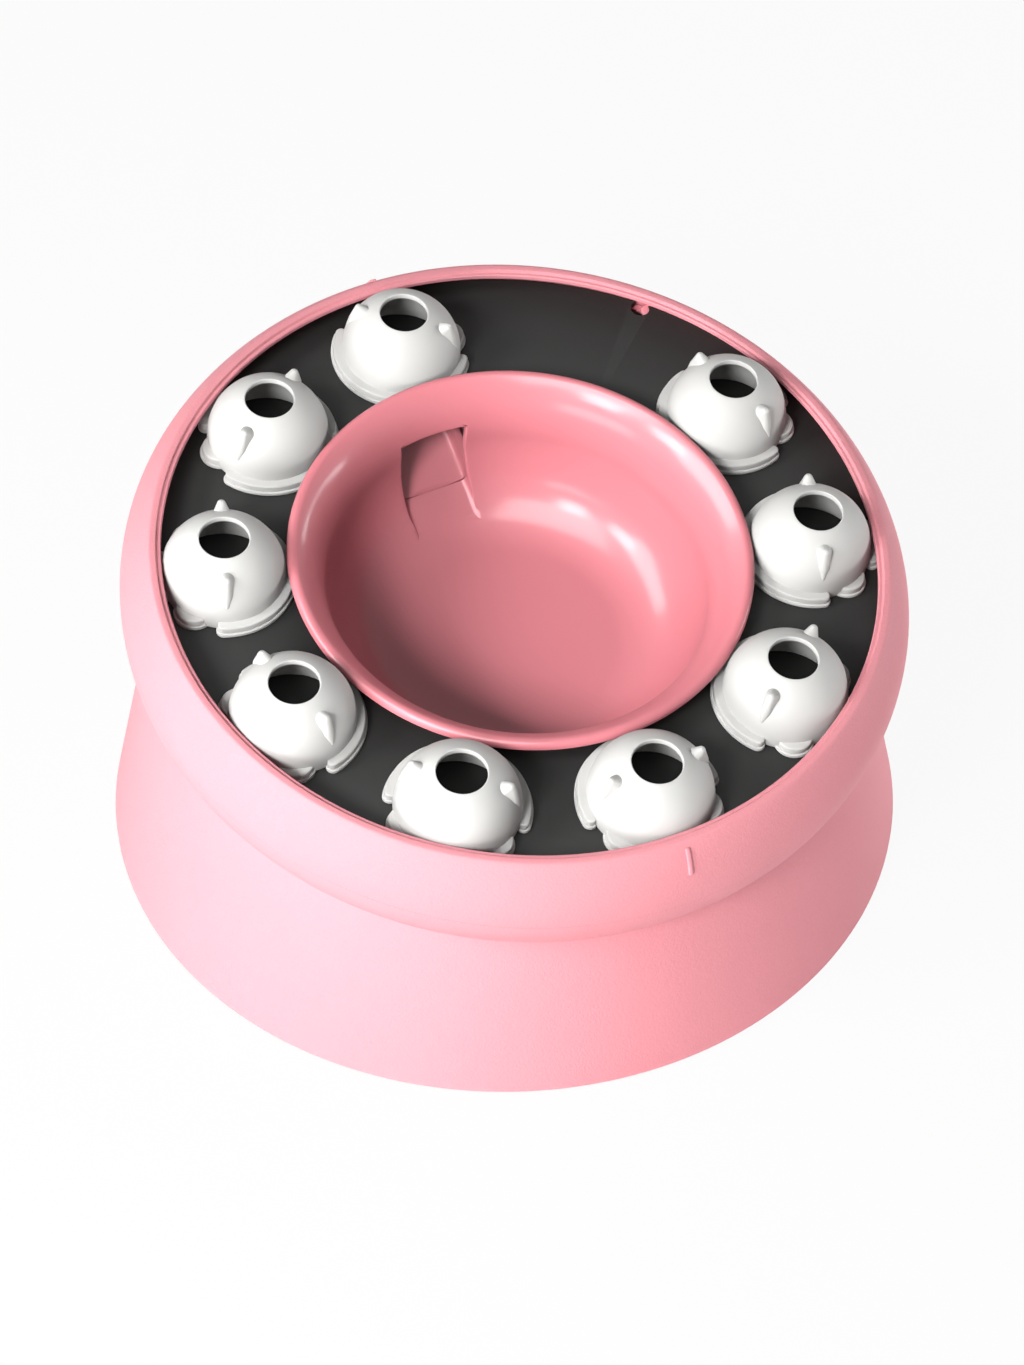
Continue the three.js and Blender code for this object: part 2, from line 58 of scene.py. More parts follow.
STAND_TAPER = math.tan(math.radians(12.7))
STAND_WALL = 3
STAND_EDGE = 1.2
FLANGE_WIDTH = 22
FLANGE_THICKNESS = 3
DECK_HOLE_RADIUS = 72
DECK_THICKNESS = 2.7
SEAT_GAP = 0.3
PAD_RADIUS = 8
PAD_RECESS = 2.3
PAD_GAP = 0.3
PINK = (0.910, 0.345, 0.392, 1)

tray_axis = Vector(next(joint["axis"] for joint in frame["joints"] if joint["name"] == "bowl_lift"))
tray_centre = Vector(next(joint["pos_m"] for joint in frame["joints"] if joint["name"] == "dome_train_turn"))
tray_tilt = math.atan2(-tray_axis.y, tray_axis.z)
SHELL_RING = 100.6
SHELL_TUBE = 32
SHELL_CENTRE = -10.4
SHELL_UNDERSIDE = -40.5


def pick(piece):
    """Leaves one object selected and active."""
    bpy.ops.object.select_all(action="DESELECT")
    piece.select_set(True)
    bpy.context.view_layer.objects.active = piece


def arc(centre, radius, start, end, steps):
    """Points on an arc about a centre, from one angle in degrees to another, ends included."""
    angles = [math.radians(start + (end - start) * i / steps) for i in range(steps + 1)]
    return [(centre[0] + radius * math.cos(a), centre[1] + radius * math.sin(a)) for a in angles]


def draw_outline(name, points, closed=True):
    """Draws an outline in the XZ plane, in mm, by extruding one corner from point to point. Stays in edit mode."""
    bpy.ops.object.select_all(action="DESELECT")
    bpy.ops.mesh.primitive_plane_add(size=MM)
    piece = bpy.context.object
    piece.name = name
    piece.data.name = name
    bpy.ops.object.mode_set(mode="EDIT")
    bpy.ops.mesh.merge(type="CENTER")
    corners = [Vector((x, 0, z)) * MM for x, z in points]
    bpy.ops.transform.translate(value=corners[0])
    ends = corners[1:] + corners[:1] if closed else corners[1:]
    for start, end in zip(corners, ends):
        bpy.ops.mesh.extrude_vertices_move(TRANSFORM_OT_translate={"value": end - start})
    bpy.ops.mesh.select_all(action="SELECT")
    bpy.ops.mesh.remove_doubles(threshold=MM / 1000)
    return piece


def close_skin(piece):
    """Merges the doubles of the mesh being edited, turns its faces outwards and leaves edit mode."""
    bpy.ops.mesh.select_all(action="SELECT")
    bpy.ops.mesh.remove_doubles(threshold=MM / 1000)
    bpy.ops.mesh.normals_make_consistent(inside=False)
    bpy.ops.object.mode_set(mode="OBJECT")
    return piece


def spin_ring(name, points, steps=RING_STEPS):
    """A solid turned about Z. An outline that starts and ends on the axis is left open along it."""
    on_axis = points[0][0] == 0 and points[-1][0] == 0
    piece = draw_outline(name, points, closed=not on_axis)
    bpy.ops.mesh.spin(steps=steps, angle=2 * math.pi, center=(0, 0, 0), axis=(0, 0, 1))
    return close_skin(piece)


def prism(name, points, width):
    """A solid along X from an outline of distances along Y and heights, in mm."""
    piece = draw_outline(name, points)
    bpy.ops.mesh.edge_face_add()
    bpy.ops.transform.translate(value=(0, -width / 2 * MM, 0))
    bpy.ops.mesh.extrude_region_move(TRANSFORM_OT_translate={"value": (0, width * MM, 0)})
    close_skin(piece)
    piece.rotation_euler.z = math.pi / 2
    pick(piece)
    bpy.ops.object.transform_apply(location=False, rotation=True, scale=False)
    return piece


def apply_modifier(piece, kind, **settings):
    pick(piece)
    modifier = piece.modifiers.new(kind.lower(), kind)
    for name, value in settings.items():
        setattr(modifier, name, value)
    bpy.ops.object.modifier_apply(modifier=modifier.name)


def round_edges(piece, width, segments=3, angle=38, clamp=True):
    """Rounds the edges that are sharper than an angle in degrees."""
    apply_modifier(piece, "BEVEL", width=width * MM, segments=segments, limit_method="ANGLE",
                   angle_limit=math.radians(angle), use_clamp_overlap=clamp)


def combine(piece, tool, operation="DIFFERENCE"):
    """Cuts, joins or trims a piece with a tool body, which is used up."""
    apply_modifier(piece, "BOOLEAN", object=tool, operation=operation, solver="EXACT")
    bpy.data.objects.remove(tool)


def place(piece, location=(0, 0, 0), rotation=(0, 0, 0)):
    """Moves and turns a piece, in metres and radians, and puts its new place in its mesh."""
    piece.location = location
    piece.rotation_euler = rotation
    pick(piece)
    bpy.ops.object.transform_apply(location=True, rotation=True, scale=True)
    return piece


def seat_in_tray(piece):
    """Everything above the stand is drawn level, from the channel floor up, and leans with the tray."""
    return place(piece, tray_centre, (tray_tilt, 0, 0))


def post(name, radius, bottom, top, steps=32):
    return spin_ring(name, [(0, bottom), (radius, bottom), (radius, top), (0, top)], steps)


def finish_piece(piece, material, slot, body, *nodes):
    """Smooths and paints a piece, hangs it on the body that it rides on and hides the solids that it stands for."""
    pick(piece)
    bpy.ops.object.shade_smooth_by_angle(angle=math.radians(SMOOTH_ANGLE))
    piece.data.materials.clear()
    piece.data.materials.append(material)
    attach(piece, body)
    if nodes:
        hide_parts(*nodes)


DRIFT_COUNT = 16
DRIFT_DETAIL = 3
GRAIN_DETAIL = 2
NOISE_MIDDLE = 0.5
LACQUER_ROUGHNESS = 0.17


def moulded_group():
    """Slow drift of tone and gloss, and a fine grain, as moulded plastic has."""
    group = bpy.data.node_groups.new("moulded surface", "ShaderNodeTree")
    sockets = [("Place", "Vector"), ("Colour", "Color"), ("Tone drift", "Float"), ("Speckle", "Float"),
               ("Roughness", "Float"), ("Gloss drift", "Float"), ("Grain count", "Float"),
               ("Grain height", "Float")]
    for name, kind in sockets:
        group.interface.new_socket(name, in_out="INPUT", socket_type=f"NodeSocket{kind}")
    for name, kind in [("Colour", "Color"), ("Roughness", "Float"), ("Normal", "Vector")]:
        group.interface.new_socket(name, in_out="OUTPUT", socket_type=f"NodeSocket{kind}")
    nodes = group.nodes
    link = group.links.new
    given = nodes.new("NodeGroupInput")
    result = nodes.new("NodeGroupOutput")
    broad = nodes.new("ShaderNodeTexNoise")
    broad.inputs["Scale"].default_value = DRIFT_COUNT
    broad.inputs["Detail"].default_value = DRIFT_DETAIL
    grain = nodes.new("ShaderNodeTexNoise")
    grain.inputs["Detail"].default_value = GRAIN_DETAIL
    for noise in (broad, grain):
        link(given.outputs["Place"], noise.inputs["Vector"])
    link(given.outputs["Grain count"], grain.inputs["Scale"])
    tone = nodes.new("ShaderNodeHueSaturation")
    link(given.outputs["Colour"], tone.inputs["Color"])

    def drifting(noise, drift, start):
        """The start value, moved up and down by a noise as far as an input of the group says."""
        centred = nodes.new("ShaderNodeMath")
        centred.operation = "SUBTRACT"
        centred.inputs[1].default_value = NOISE_MIDDLE
        link(noise.outputs["Fac"], centred.inputs[0])
        shifted = nodes.new("ShaderNodeMath")
        shifted.operation = "MULTIPLY_ADD"
        link(centred.outputs[0], shifted.inputs[0])
        link(given.outputs[drift], shifted.inputs[1])
        shifted.inputs[2].default_value = 1
        if start:
            link(start, shifted.inputs[2])
        return shifted.outputs[0]

    link(drifting(grain, "Speckle", drifting(broad, "Tone drift", None)), tone.inputs["Value"])
    link(drifting(grain, "Gloss drift", given.outputs["Roughness"]), result.inputs["Roughness"])
    link(tone.outputs["Color"], result.inputs["Colour"])
    bump = nodes.new("ShaderNodeBump")
    link(grain.outputs["Fac"], bump.inputs["Height"])
    link(given.outputs["Grain height"], bump.inputs["Distance"])
    link(bump.outputs["Normal"], result.inputs["Normal"])
    return group


moulded_surface = moulded_group()


def moulded_plastic(name, colour, roughness, grain_count, grain_height, tone_drift=0.05, gloss_drift=0.1,
                    speckle=0, spill=1, shine=0.5, lacquer=0):
    """A plastic or rubber finish from the moulded surface group.

    Spill is the share of its colour that it throws onto other surfaces: light bounced off it sees the colour dimmed
    to that share, which is painted shade that darkens its own hollows and the shaded sides of its neighbours.
    Lacquer is the weight of a clear gloss.
    """
    material = bpy.data.materials.new(name)
    material.use_nodes = True
    nodes = material.node_tree.nodes
    link = material.node_tree.links.new
    shader = nodes["Principled BSDF"]
    shader.inputs["Specular IOR Level"].default_value = shine
    shader.inputs["Coat Weight"].default_value = lacquer
    shader.inputs["Coat Roughness"].default_value = LACQUER_ROUGHNESS
    surface = nodes.new("ShaderNodeGroup")
    surface.node_tree = moulded_surface
    surface.inputs["Colour"].default_value = colour
    surface.inputs["Tone drift"].default_value = tone_drift
    surface.inputs["Speckle"].default_value = speckle
    surface.inputs["Roughness"].default_value = roughness
    surface.inputs["Gloss drift"].default_value = gloss_drift
    surface.inputs["Grain count"].default_value = grain_count
    surface.inputs["Grain height"].default_value = grain_height * MM
    where = nodes.new("ShaderNodeTexCoord")
    link(where.outputs["Object"], surface.inputs["Place"])
    # Painted shade: for diffuse bounce rays the colour is dimmed to the spill share, so less light reaches shaded
    # parts.
    path = nodes.new("ShaderNodeLightPath")
    thrown = nodes.new("ShaderNodeMath")
    thrown.operation = "MULTIPLY_ADD"
    thrown.inputs[1].default_value = spill - 1
    thrown.inputs[2].default_value = 1
    link(path.outputs["Is Diffuse Ray"], thrown.inputs[0])
    spill_dimmed_colour = nodes.new("ShaderNodeHueSaturation")
    link(thrown.outputs[0], spill_dimmed_colour.inputs["Value"])
    link(surface.outputs["Colour"], spill_dimmed_colour.inputs["Color"])
    link(spill_dimmed_colour.outputs["Color"], shader.inputs["Base Color"])
    link(surface.outputs["Roughness"], shader.inputs["Roughness"])
    link(surface.outputs["Normal"], shader.inputs["Normal"])
    return material


# Its spill of 0.7 is painted shade: bounce light from the shell is held back to 70 percent.
matte_pink = moulded_plastic("matte pink plastic", PINK, roughness=0.55, grain_count=1300, grain_height=0.11,
                             speckle=0.12, spill=0.7, shine=0.2)


def stand_radius(height):
    return STAND_RADIUS - (height - STAND_FOOT) * STAND_TAPER


flange_top = STAND_FOOT + FLANGE_THICKNESS
flange_radius = STAND_RADIUS - STAND_WALL - FLANGE_WIDTH
stand = spin_ring("stand", [
    (flange_radius, STAND_FOOT),
    (STAND_RADIUS, STAND_FOOT),
    (stand_radius(STAND_TOP), STAND_TOP),
    (stand_radius(STAND_TOP) - STAND_WALL, STAND_TOP),
    (stand_radius(flange_top) - STAND_WALL, flange_top),
    (flange_radius, flange_top),
])
round_edges(stand, STAND_EDGE)
deck_top = SHELL_UNDERSIDE - SEAT_GAP
deck = seat_in_tray(spin_ring("deck", [
    (DECK_HOLE_RADIUS, deck_top - DECK_THICKNESS),
    (STAND_RADIUS, deck_top - DECK_THICKNESS),
    (STAND_RADIUS, deck_top),
    (DECK_HOLE_RADIUS, deck_top),
]))
inside = spin_ring("stand inside", [
    (0, STAND_FOOT),
    (stand_radius(STAND_FOOT) - STAND_WALL / 2, STAND_FOOT),
    (stand_radius(STAND_TOP) - STAND_WALL / 2, STAND_TOP),
    (0, STAND_TOP),
])
combine(deck, inside, "INTERSECT")
combine(stand, deck, "UNION")
seat_tube = SHELL_TUBE + SEAT_GAP
seat_low = math.degrees(math.asin((deck_top - SHELL_CENTRE) / seat_tube))
seat = seat_in_tray(spin_ring("shell seat", [
    (0, deck_top),
    *arc((SHELL_RING, SHELL_CENTRE), seat_tube, seat_low, 0, 20),
    (SHELL_RING + seat_tube, STAND_RADIUS),
    (0, STAND_RADIUS),
]))
combine(stand, seat)
pad_nodes = [node for node in frame["nodes"] if node.startswith("foot_pad")]
for node in pad_nodes:
    low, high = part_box(node)
    recess = post("pad recess", PAD_RADIUS + PAD_GAP, -PAD_GAP, PAD_RECESS)
    combine(stand, place(recess, ((low.x + high.x) / 2, (low.y + high.y) / 2, 0)))
finish_piece(stand, matte_pink, "stand_pink", "stand", "base_skirt")

# Foot pads
# Soft rubber discs with a dished face, so that the feeder doesn't slip. They are die-cut and glued into shallow
# recesses under the flange of the stand.
PAD_THICKNESS = 2
PAD_EDGE = 0.5
PAD_DISH = 1.4
RUBBER_GREY = (0.07, 0.07, 0.075, 1)
soft_rubber = moulded_plastic("soft grey rubber", RUBBER_GREY, roughness=0.85, grain_count=900, grain_height=0.05)
for node in pad_nodes:
    low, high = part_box(node)
    pad = spin_ring(f"{node}_rubber", [
        (0, PAD_EDGE),
        (PAD_RADIUS - 2 * PAD_DISH, PAD_EDGE),
        (PAD_RADIUS - PAD_DISH, 0),
        (PAD_RADIUS, 0),
        (PAD_RADIUS, PAD_THICKNESS),
        (0, PAD_THICKNESS),
    ], 48)
    round_edges(pad, PAD_EDGE / 2, 2)
    place(pad, ((low.x + high.x) / 2, (low.y + high.y) / 2, 0))
    finish_piece(pad, soft_rubber, "foot_rubber", "stand", node)

# Lower shell
# The lower half of the bulging shell, moulded in the same pink. Inside it has a well wall round the bowl, the
# tongue that the upper half snaps over, and four posts for the screws that come up through the deck.
SHELL_WALL = 3
SPLIT_GAP = 0.04
SHOULDER = 3.4
TONGUE_RADIUS = 128.3
TONGUE_WALL = 2.4
FLOOR_SEAT = -2.8
WELL_RADIUS = 74.9
WELL_WALL = 2.5
SCREW_CIRCLE = 95
SCREW_ANGLES = [45, 135, 225, 315]
POST_RADIUS = 4.4
POST_HOLE = 1.8
POST_TOP = -25.5
OVERCUT = 1
CHUTE_WIDTH = 24.8
CHUTE_WALL = 2.2
CHUTE_GAP = 0.3
RAMP_DEG = 29
RAMP = math.tan(math.radians(RAMP_DEG))
SEAM_DISTANCE = 60.5
SEAM_HEIGHT = -29.2


def ramp_height(distance):
    """Height of the kibble ramp at a distance from the tray's axis, both in mm."""
    return SEAM_HEIGHT + (distance - SEAM_DISTANCE) * RAMP


def tube_angle(height, radius):
    """Where a circle about the middle of the shell's tube reaches a height, in degrees."""
    return math.degrees(math.asin((height - SHELL_CENTRE) / radius))


def ring_spot(angle, distance):
    """A place in the tray, from an angle in degrees and a distance in mm from its axis."""
    turn = math.radians(angle)
    return Vector((math.cos(turn), math.sin(turn), 0)) * distance * MM


tube_centre = (SHELL_RING, SHELL_CENTRE)
cavity_tube = SHELL_TUBE - SHELL_WALL
lower_split = SHELL_CENTRE - SPLIT_GAP / 2
shell_bottom = SHELL_UNDERSIDE + SHELL_WALL
lower_shell = spin_ring("lower_shell_skin", [
    (WELL_RADIUS, SHELL_UNDERSIDE),
    *arc(tube_centre, SHELL_TUBE, tube_angle(SHELL_UNDERSIDE, SHELL_TUBE),
         tube_angle(lower_split, SHELL_TUBE), 22),
    (TONGUE_RADIUS, lower_split),
    (TONGUE_RADIUS, FLOOR_SEAT),
    (TONGUE_RADIUS - TONGUE_WALL, FLOOR_SEAT),
    (TONGUE_RADIUS - TONGUE_WALL, lower_split - SHOULDER),
    *arc(tube_centre, cavity_tube, tube_angle(lower_split - SHOULDER, cavity_tube),
         tube_angle(shell_bottom, cavity_tube), 12),
    (WELL_RADIUS + WELL_WALL, shell_bottom),
    (WELL_RADIUS + WELL_WALL, FLOOR_SEAT),
    (WELL_RADIUS, FLOOR_SEAT),
])
for angle in SCREW_ANGLES:
    spot = ring_spot(angle, SCREW_CIRCLE)
    screw_post = post("screw post", POST_RADIUS, SHELL_UNDERSIDE + OVERCUT, POST_TOP)
    combine(lower_shell, place(screw_post, spot), "UNION")
    screw_hole = post("screw hole", POST_HOLE, SHELL_UNDERSIDE - OVERCUT, POST_TOP + OVERCUT)
    combine(lower_shell, place(screw_hole, spot))
chute_outer = CHUTE_WIDTH + 2 * CHUTE_WALL
ramp_thickness = CHUTE_WALL * math.hypot(1, RAMP)
notch_near = WELL_RADIUS - 2 * WELL_WALL
notch_far = WELL_RADIUS + 2 * WELL_WALL
combine(lower_shell, prism("chute notch", [
    (notch_near, ramp_height(notch_near) - ramp_thickness - CHUTE_GAP),
    (notch_far, ramp_height(notch_far) - ramp_thickness - CHUTE_GAP),
    (notch_far, 0),
    (notch_near, 0),
], chute_outer + 2 * CHUTE_GAP))
seat_in_tray(lower_shell)
finish_piece(lower_shell, matte_pink, "shell_pink", "stand", "lower_shell")

# Upper shell
# The upper half of the shell, snapped over the lower one at the widest line. Its rim turns inwards as the lip
# that keeps the domes in. The lip lies a step below the crown, and a raised line marks its front and its back.
RIM_TOP = 12.4
LIP_RADIUS = 118.97
LIP_UNDERSIDE = 9.6
RIM_CROWN = 122.3
RIM_ROUND = 1.6
RIM_TURN_DEG = 52
RIM_SHOULDER_DEG = 43.5
STEP_RADIUS = 120.3
STEP_CREST = 121
STEP_ROUND = 0.4
STEP_LEAN_DEG = 165
STEP_FOOT = 0.1
LIP_EDGE = 11.5
LIP_ROUND = 0.35
LIP_UNDER_ROUND = 0.25
MARK_WIDTH = 1.5
MARK_PROUD = 0.7
MARK_ROUND = 0.42
MARK_START_DEG = 24
MARK_END_DEG = 41.5
MARK_TURN = math.radians(-2.5)
upper_split = SHELL_CENTRE + SPLIT_GAP / 2
shoulder = arc(tube_centre, SHELL_TUBE, tube_angle(upper_split, SHELL_TUBE), RIM_SHOULDER_DEG, 30)
rim_turn = arc((RIM_CROWN, RIM_TOP - RIM_ROUND), RIM_ROUND, RIM_TURN_DEG, 90, 5)
upper_shell = spin_ring("upper_shell_skin", [
    *shoulder,
    *rim_turn,
    (STEP_CREST, RIM_TOP),
    *arc((STEP_CREST, RIM_TOP - STEP_ROUND), STEP_ROUND, 90, STEP_LEAN_DEG, 4)[1:],
    (STEP_RADIUS + STEP_FOOT, LIP_EDGE + 1.5 * STEP_FOOT),
    (STEP_RADIUS - STEP_FOOT, LIP_EDGE),
    (LIP_RADIUS + LIP_ROUND, LIP_EDGE),
    (LIP_RADIUS, LIP_EDGE - LIP_ROUND),
    (LIP_RADIUS, LIP_UNDERSIDE + LIP_UNDER_ROUND),
    (LIP_RADIUS + LIP_UNDER_ROUND, LIP_UNDERSIDE),
    *arc(tube_centre, cavity_tube, tube_angle(LIP_UNDERSIDE, cavity_tube),
         tube_angle(upper_split, cavity_tube), 16),
])
for turn in (MARK_TURN, MARK_TURN + math.pi):
    mark = prism("front mark", [
        *arc(tube_centre, SHELL_TUBE - OVERCUT, MARK_START_DEG, MARK_END_DEG, 10),
        *arc(tube_centre, SHELL_TUBE + MARK_PROUD, MARK_END_DEG, MARK_START_DEG, 10),
    ], MARK_WIDTH)
    round_edges(mark, MARK_ROUND)
    combine(upper_shell, place(mark, rotation=(0, 0, turn)), "UNION")
seat_in_tray(upper_shell)
finish_piece(upper_shell, matte_pink, "shell_pink", "stand", "upper_shell")

# Channel floor
# A flat black ring that the domes slide on, moulded in matte plastic. Its inner edge carries the bowl, kibble
# falls through the hole at the back, and a notch in its outer edge fits over a pin of the lower shell.
FLOOR_RADIUS = 127.38
FLOOR_HOLE_RADIUS = 69.54
FLOOR_UNDERSIDE = -2.5
FLOOR_EDGE = 0.4
DROP_DISTANCE = 97
DROP_RADIUS = 8.2
KEY_DEG = 42.9
KEY_DISTANCE = 124.88
NOTCH_RADIUS = 3.4
PIN_DEG = 41.8
PIN_DISTANCE = 126.2
PIN_RADIUS = 2.2
PIN_TOP = -0.9
PIN_ROUND = 0.5
BLACK = (0.034, 0.034, 0.033, 1)
matte_black = moulded_plastic("matte black plastic", BLACK, roughness=0.6, grain_count=1500, grain_height=0.03,
                              tone_drift=0.12, shine=0.2)
channel_floor = spin_ring("channel_floor_ring", [
    (FLOOR_HOLE_RADIUS, FLOOR_UNDERSIDE),
    (FLOOR_RADIUS, FLOOR_UNDERSIDE),
    (FLOOR_RADIUS, 0),
    (FLOOR_HOLE_RADIUS, 0),
])
round_edges(channel_floor, FLOOR_EDGE, 2)
drop_hole = post("drop hole", DROP_RADIUS, FLOOR_UNDERSIDE - OVERCUT, OVERCUT, 48)
combine(channel_floor, place(drop_hole, (0, DROP_DISTANCE * MM, 0)))
notch = post("key notch", NOTCH_RADIUS, FLOOR_UNDERSIDE - OVERCUT, OVERCUT)
combine(channel_floor, place(notch, ring_spot(KEY_DEG, KEY_DISTANCE)))
seat_in_tray(channel_floor)
finish_piece(channel_floor, matte_black, "channel_black", "stand", "channel_floor")
key_pin = post("key_pin", PIN_RADIUS, FLOOR_SEAT, PIN_TOP)
round_edges(key_pin, PIN_ROUND)
seat_in_tray(place(key_pin, ring_spot(PIN_DEG, PIN_DISTANCE)))
finish_piece(key_pin, matte_pink, "shell_pink", "stand")

# Food chute
# A straight trough, moulded in glossy pink plastic and fixed under the channel floor. Kibble slides down it from
# the drop hole, over the seam and onto the lip of the bowl's window. Its sides are filleted into the ramp.
WAIST_RADIUS = 64.51
WAIST_HEIGHT = -10
CORNER_RADIUS = 29
FLARE_RADIUS = 25.07
BOWL_WALL = 2.4
BOWL_LIFT_GAP = 1
CHUTE_FILLET = 2.2
CHUTE_EDGE = 0.5
CHUTE_END = 105.5
TROUGH_OVERRUN = 20
SIDE_AT_SEAM = 9.5
SIDE_AT_END = 4.5
GLOSS_PINK = (0.900, 0.275, 0.320, 1)
# Its spill of 0.06 is painted shade: it holds back the bowl's own bounce light, so its unlit side and the window's
# shadow stay dark.
gloss_pink = moulded_plastic("glossy pink plastic", GLOSS_PINK, roughness=0.42, grain_count=260, grain_height=0.01,
                             tone_drift=0.04, gloss_drift=0.05, spill=0.06, shine=0.15, lacquer=0.4)


def bowl_section(outside, top):
    """The bowl's section from the middle of its floor up the flare to a height, this far outside the cup."""
    corner = arc((WAIST_RADIUS - CORNER_RADIUS, WAIST_HEIGHT), CORNER_RADIUS + outside, -90, 0, 28)
    turn = FLARE_RADIUS - outside
    end = 180 - math.degrees(math.asin((top - WAIST_HEIGHT) / turn))
    flare = arc((WAIST_RADIUS + FLARE_RADIUS, WAIST_HEIGHT), turn, 180, end, 16)
    return [(0, corner[0][1]), *corner, *flare[1:]]


def fillet_ramp(tool, slack=0.01):
    """Rounds the two long lower edges of a tool that cuts a trough along the ramp, found to within a slack in mm."""
    pick(tool)
    bpy.ops.object.mode_set(mode="EDIT")
    bpy.ops.mesh.select_mode(type="EDGE")
    bpy.ops.mesh.select_all(action="DESELECT")
    bpy.ops.object.mode_set(mode="OBJECT")
    for edge in tool.data.edges:
        ends = [tool.data.vertices[i].co / MM for i in edge.vertices]
        along = abs(ends[0].x - ends[1].x) < slack and abs(ends[0].y - ends[1].y) > slack
        edge.select = along and all(abs(end.z - ramp_height(end.y)) < slack for end in ends)
    bpy.ops.object.mode_set(mode="EDIT")
    bpy.ops.mesh.bevel(offset=CHUTE_FILLET * MM, segments=6, affect="EDGES")
    bpy.ops.mesh.select_mode(type="VERT")
    bpy.ops.object.mode_set(mode="OBJECT")


chute_start = SEAM_DISTANCE + CHUTE_GAP
chute_back = CHUTE_END + CHUTE_WALL
drop_start = CHUTE_END - 2 * DROP_RADIUS
food_chute = prism("food_chute_trough", [
    (chute_start, ramp_height(chute_start) - ramp_thickness),
    (chute_back, ramp_height(chute_back) - ramp_thickness),
    (chute_back, FLOOR_SEAT),
    (drop_start, ramp_height(drop_start) + SIDE_AT_END),
    (chute_start, ramp_height(chute_start) + SIDE_AT_SEAM),
], chute_outer)
round_edges(food_chute, CHUTE_EDGE, 2)
trough_start = chute_start - TROUGH_OVERRUN
trough = prism("trough", [
    (trough_start, ramp_height(trough_start)),
    (CHUTE_END, ramp_height(CHUTE_END)),
    (CHUTE_END, TROUGH_OVERRUN),
    (trough_start, TROUGH_OVERRUN),
], CHUTE_WIDTH)
fillet_ramp(trough)
combine(food_chute, trough)
combine(food_chute, spin_ring("bowl clearance", [*bowl_section(BOWL_WALL + BOWL_LIFT_GAP, 0), (0, 0)]))
seat_in_tray(food_chute)
finish_piece(food_chute, gloss_pink, "bowl_pink", "stand", "food_chute")

# Food bowl
# A flat-bottomed cup with a round corner, an upright waist and a flared, rolled rim, moulded in glossy pink. It
# hangs by its flare in the floor and lifts straight out. Its window ends in a lip that carries on the chute's ramp.
FLARE_TOP = 9.9
ROLL_RADIUS = 2.2
ROLL_END_DEG = -15
ROLL_UNDERSIDE = 7.3
WINDOW_TOP = -4.3
WINDOW_EDGE = 0.45
WINDOW_EDGE_DEG = 50
WINDOW_REACH = WAIST_RADIUS - CORNER_RADIUS * (1 - math.sin(math.radians(RAMP_DEG)))
RUNOUT_LENGTH = 11
RUNOUT_SLOPE = 0.27
LIP_OVERLAP = 0.5
inner_wall = bowl_section(0, FLARE_TOP)
outer_wall = bowl_section(BOWL_WALL, ROLL_UNDERSIDE)
flare_end = inner_wall[-1]
roll_start = 180 - math.degrees(math.asin((FLARE_TOP - WAIST_HEIGHT) / FLARE_RADIUS))
roll_turn = math.radians(roll_start)
roll_centre = (
    flare_end[0] - ROLL_RADIUS * math.cos(roll_turn),
    flare_end[1] - ROLL_RADIUS * math.sin(roll_turn),
)
food_bowl = spin_ring("food_bowl_cup", [
    *outer_wall,
    (roll_centre[0] + ROLL_RADIUS / 2, ROLL_UNDERSIDE),
    *arc(roll_centre, ROLL_RADIUS, ROLL_END_DEG, roll_start, 14)[:-1],
    *reversed(inner_wall),
])
lip = prism("window lip", [
    (WINDOW_REACH, ramp_height(WINDOW_REACH) - ramp_thickness),
    (SEAM_DISTANCE, ramp_height(SEAM_DISTANCE) - ramp_thickness),
    (SEAM_DISTANCE, SEAM_HEIGHT + BOWL_WALL),
    (WINDOW_REACH, SEAM_HEIGHT + BOWL_WALL),
], chute_outer)
combine(lip, spin_ring("cup space", [*bowl_section(LIP_OVERLAP, 0), (0, 0)]))
combine(food_bowl, lip, "UNION")
window_back = FLOOR_HOLE_RADIUS + BOWL_LIFT_GAP
runout_end = WINDOW_REACH - RUNOUT_LENGTH
window = prism("window", [
    (runout_end, ramp_height(WINDOW_REACH) - RUNOUT_LENGTH * RUNOUT_SLOPE),
    (WINDOW_REACH, ramp_height(WINDOW_REACH)),
    (window_back, ramp_height(window_back)),
    (window_back, WINDOW_TOP),
    (runout_end, WINDOW_TOP),
], CHUTE_WIDTH)
fillet_ramp(window)
combine(food_bowl, window)
round_edges(food_bowl, WINDOW_EDGE, angle=WINDOW_EDGE_DEG, clamp=False)
seat_in_tray(food_bowl)
finish_piece(food_bowl, gloss_pink, "bowl_pink", "bowl", "food_bowl")

# Kibble domes
# Hollow white domes, open below, each moulded in one piece: a round hole on top takes the kibble, two pointed ears
# stand out at the sides, and a stepped foot of two bars and two paws is caught under the bowl's rim and the shell's
# lip. The dome at the back was left turned about its own axis.
RING_RADIUS = 98.6
DOME_RADIUS = 20.7
DOME_CENTRE = 3.8
DOME_WALL = 2.2
DOME_FOOT = 0.3
DOME_STEPS = 96
HOLE_RADIUS = 8.2
HOLE_EDGE = 0.5
FOOT_RADIUS = 24.2
FOOT_STEP = 23.5
FOOT_LEDGE = 4.4
FOOT_LIP = 1.9
FOOT_OVERLAP = 0.3
FOOT_LIP_RISE = 0.05
FOOT_LIP_EDGE = 0.4
FOOT_BAR_RISE = 0.6
FOOT_BAR_EDGE = 0.6
FOOT_BARS = [(0, 93), (180, 20)]
PAW_DEG = 126.5
PAW_RADIUS = 6.8
EAR_HEAD_DEG = 46
EAR_BELLY_DEG = 31
EAR_TIP_DEG = 19.5
EAR_ROOT = 2.7
EAR_ROOT_FLAT = 0.3
EAR_ROOT_SINK = 0.5
EAR_HEIGHT = 3.4
EAR_CROWN = 1.5
EAR_BELLY = 1.95
